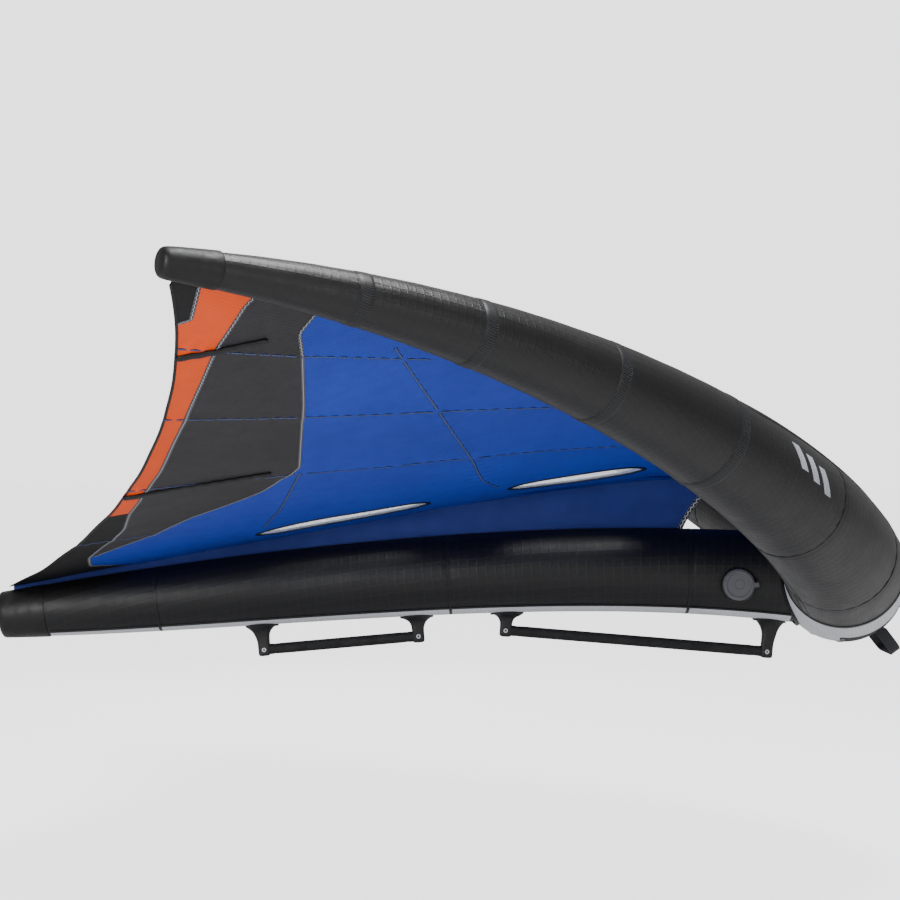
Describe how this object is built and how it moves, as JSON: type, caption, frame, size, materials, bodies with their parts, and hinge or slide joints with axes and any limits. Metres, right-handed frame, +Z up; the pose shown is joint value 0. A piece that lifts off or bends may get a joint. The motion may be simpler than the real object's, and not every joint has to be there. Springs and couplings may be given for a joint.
{
  "type": "inflatable hand wing",
  "caption": "Hand-held inflatable wing for board sports: swept tubular leading edge, centre strut, sewn canopy with windows and battens, and rigid handles under the strut.",
  "frame": {"origin": "middle of the front handle bar, where the hand holds the wing under its centre of effort", "axes": "+X forward to the nose, +Y to the wing's left tip, +Z up towards the wing tips"},
  "size_m": [2.1164, 3.0508, 0.8392],
  "materials": {
    "casing": "satin charcoal woven polyester casing",
    "light_dacron": "pale grey woven polyester",
    "bladder": "translucent polyurethane film",
    "rubber": "black textured scuff laminate",
    "valve_rubber": "moulded black rubber",
    "tape": "black sewn tape",
    "blue": "blue ripstop",
    "dark_blue": "dark blue ripstop",
    "grey": "charcoal grey ripstop",
    "orange": "orange ripstop",
    "film": "clear window film",
    "fibreglass": "pultruded fibreglass strip",
    "plastic": "black glass-filled nylon, fine texture",
    "foam": "black textured grip foam over a tube",
    "steel": "stainless steel",
    "webbing": "black ribbed webbing"
  },
  "bodies": {
    "wing": {"leading_edge_casing_left": "casing", "leading_edge_casing_right": "casing", "leading_edge_tip_cap_left": "rubber", "leading_edge_tip_cap_right": "rubber", "leading_edge_joint_band_1_left": "tape", "leading_edge_joint_band_1_right": "tape", "leading_edge_joint_band_2_left": "tape", "leading_edge_joint_band_2_right": "tape", "leading_edge_joint_band_3_left": "tape", "leading_edge_joint_band_3_right": "tape", "leading_edge_joint_band_4_left": "tape", "leading_edge_joint_band_4_right": "tape", "leading_edge_seam_tape_left": "tape", "leading_edge_seam_tape_right": "tape", "leading_edge_centre_panel": "light_dacron", "leading_edge_bladder": "bladder", "strut_casing": "casing", "strut_bladder": "bladder", "strut_rear_cap": "rubber", "strut_keel_strip": "light_dacron", "keel_web": "dark_blue", "keel_web_binding": "tape", "canopy_window_rear_left": "film", "canopy_window_rear_right": "film", "canopy_window_front_left": "film", "canopy_window_front_right": "film", "canopy_main_panel_left": "blue", "canopy_main_panel_right": "blue", "canopy_grey_panel_left": "grey", "canopy_grey_panel_right": "grey", "canopy_trailing_panel_left": "orange", "canopy_trailing_panel_right": "orange", "canopy_tip_patch_left": "rubber", "canopy_tip_patch_right": "rubber", "canopy_rear_corner_patch_left": "rubber", "canopy_rear_corner_patch_right": "rubber", "batten_pocket_upper_left": "tape", "batten_pocket_upper_right": "tape", "batten_pocket_lower_left": "tape", "batten_pocket_lower_right": "tape", "batten_upper_left": "fibreglass", "batten_upper_right": "fibreglass", "batten_lower_left": "fibreglass", "batten_lower_right": "fibreglass", "rear_handle_bracket_rear": "plastic", "rear_handle_bracket_front": "plastic", "rear_handle_screw_rear": "steel", "rear_handle_screw_front": "steel", "rear_handle_bar": "foam", "front_handle_bracket_rear": "plastic", "front_handle_bracket_front": "plastic", "front_handle_screw_rear": "steel", "front_handle_screw_front": "steel", "front_handle_bar": "foam", "valve_flange": "plastic", "valve_body": "plastic", "nose_handle_patch": "webbing"},
    "valve_cap": {"valve_cap": "valve_rubber"},
    "valve_poppet": {"valve_poppet": "valve_rubber"},
    "nose_handle": {"nose_handle_loop": "webbing"}
  },
  "joints": [
    {"name": "valve_cap_hinge", "type": "hinge", "parent": "wing", "child": "valve_cap", "pos_m": [0.272, -0.11282, 0.138], "axis": [0, 0, 1], "range_deg": [0, 110]},
    {"name": "valve_poppet_slide", "type": "slide", "parent": "wing", "child": "valve_poppet", "axis": [0, 1, 0], "range_m": [0, 0.005], "stiffness_N_per_m": 300},
    {"name": "nose_handle_fold", "type": "hinge", "parent": "wing", "child": "nose_handle", "pos_m": [0.56373, 0, 0.02488], "axis": [0, 1, 0], "range_deg": [-60, 60]}
  ]
}
